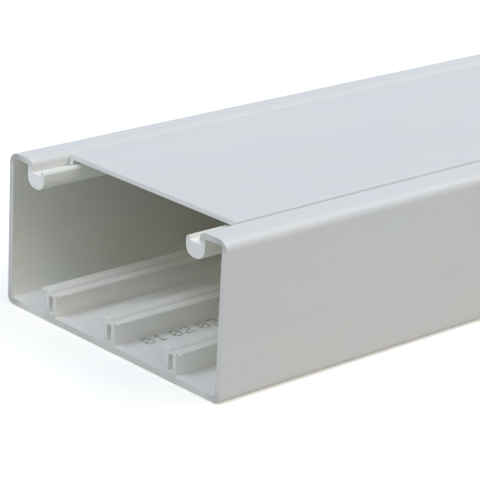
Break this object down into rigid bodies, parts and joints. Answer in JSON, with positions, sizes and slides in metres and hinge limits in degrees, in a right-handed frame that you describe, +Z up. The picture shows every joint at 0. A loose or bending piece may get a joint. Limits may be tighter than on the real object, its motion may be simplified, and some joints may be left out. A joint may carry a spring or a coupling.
{
  "type": "cord cover raceway",
  "caption": "Long rectangular cable raceway: an open channel with curled lips and hollow T rails on its floor, closed by a flat snap-in cover that slides along the lips.",
  "frame": {"origin": "on the level the raceway lies on, midway along the whole and midway between the two side walls", "axes": "+X along the raceway, from the open near end to the far end; +Z up, from the floor's feet to the cover"},
  "size_m": [2.014, 0.1, 0.05],
  "materials": {
    "base_plastic": "satin",
    "cover_plastic": "satin"
  },
  "bodies": {
    "base": {"base_channel": "base_plastic"},
    "cover": {"cover_strip": "cover_plastic"}
  },
  "joints": [
    {"name": "cover_slide", "type": "slide", "parent": "base", "child": "cover", "axis": [1, 0, 0], "range_m": [-0.014, 1.9]}
  ]
}
